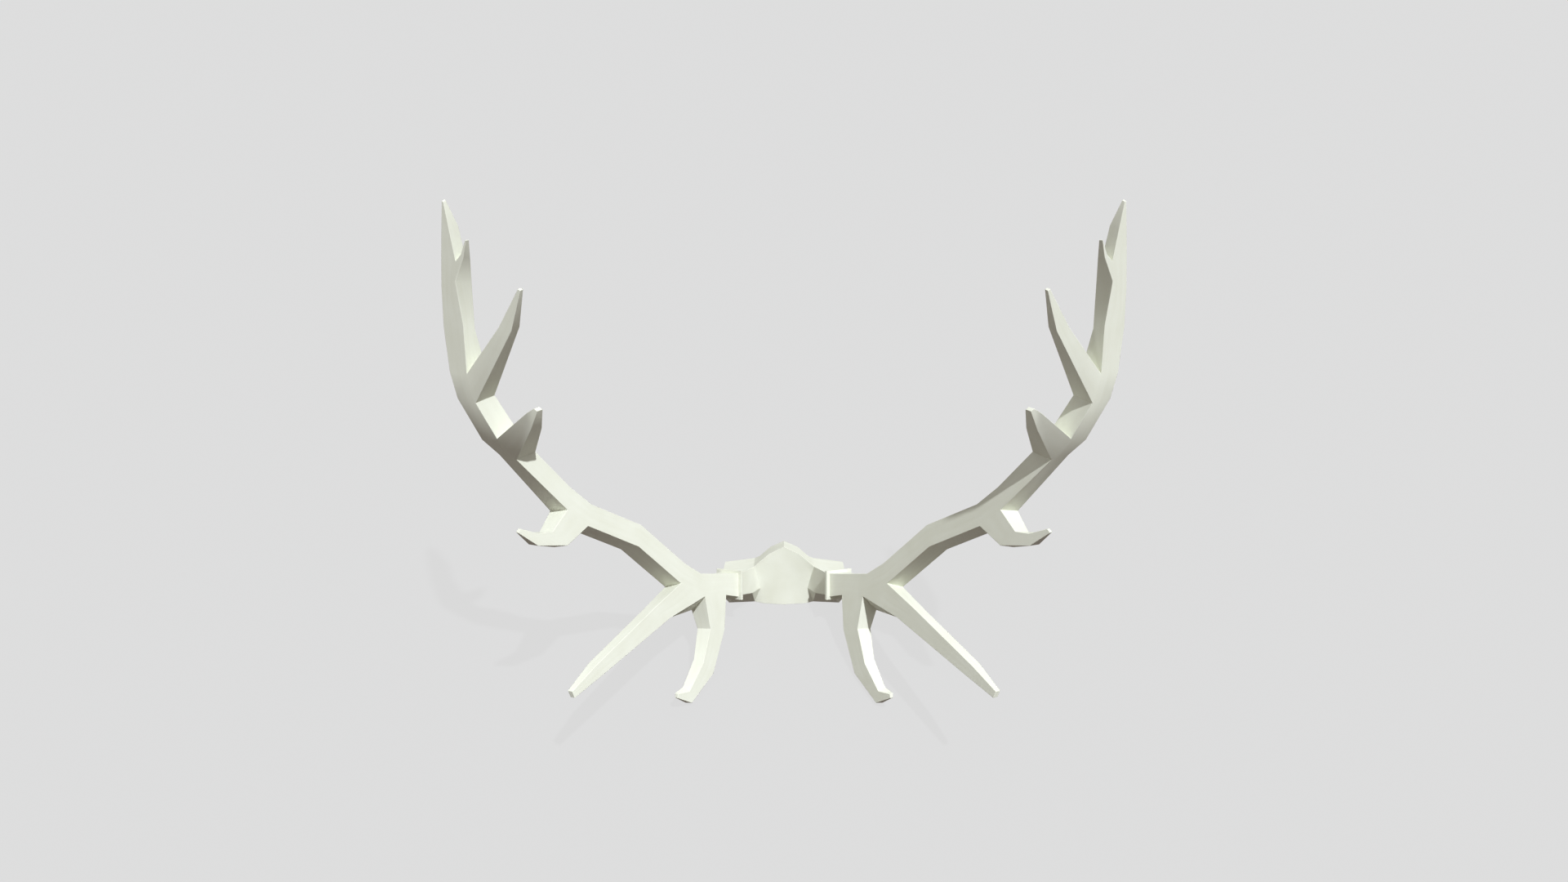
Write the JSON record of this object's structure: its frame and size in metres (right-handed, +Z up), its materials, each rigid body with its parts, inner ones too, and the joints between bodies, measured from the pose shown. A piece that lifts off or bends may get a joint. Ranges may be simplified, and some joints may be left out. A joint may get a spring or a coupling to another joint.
{
  "type": "deer antler pair",
  "caption": "Pair of branched antlers on a sawn piece of skull, with square faceted beams, curving tines and thin square burrs.",
  "frame": {"origin": "on the surface the pair stands on, in the middle of the flat saw cut under the skull plate", "axes": "+Z up, the forehead looks towards -Y, +X is the side of the nodes named right"},
  "size_m": [0.9276, 0.556, 0.8111],
  "materials": {
    "antler_bone": "dry pale bone, matte",
    "burr_bone": "dry pale bone, matte",
    "skull_bone": "dry pale bone, matte"
  },
  "bodies": {
    "root": {"skull_plate": "skull_bone", "right_burr": "burr_bone", "right_beam_base": "antler_bone", "right_lower_beam": "antler_bone", "right_middle_beam": "antler_bone", "right_upper_beam": "antler_bone", "right_brow_tine": "antler_bone", "right_bez_tine": "antler_bone", "right_trez_tine": "antler_bone", "right_royal_tine": "antler_bone", "right_fifth_tine": "antler_bone", "right_crown_tine": "antler_bone", "left_burr": "burr_bone", "left_beam_base": "antler_bone", "left_lower_beam": "antler_bone", "left_middle_beam": "antler_bone", "left_upper_beam": "antler_bone", "left_brow_tine": "antler_bone", "left_bez_tine": "antler_bone", "left_trez_tine": "antler_bone", "left_royal_tine": "antler_bone", "left_fifth_tine": "antler_bone", "left_crown_tine": "antler_bone"}
  },
  "joints": []
}
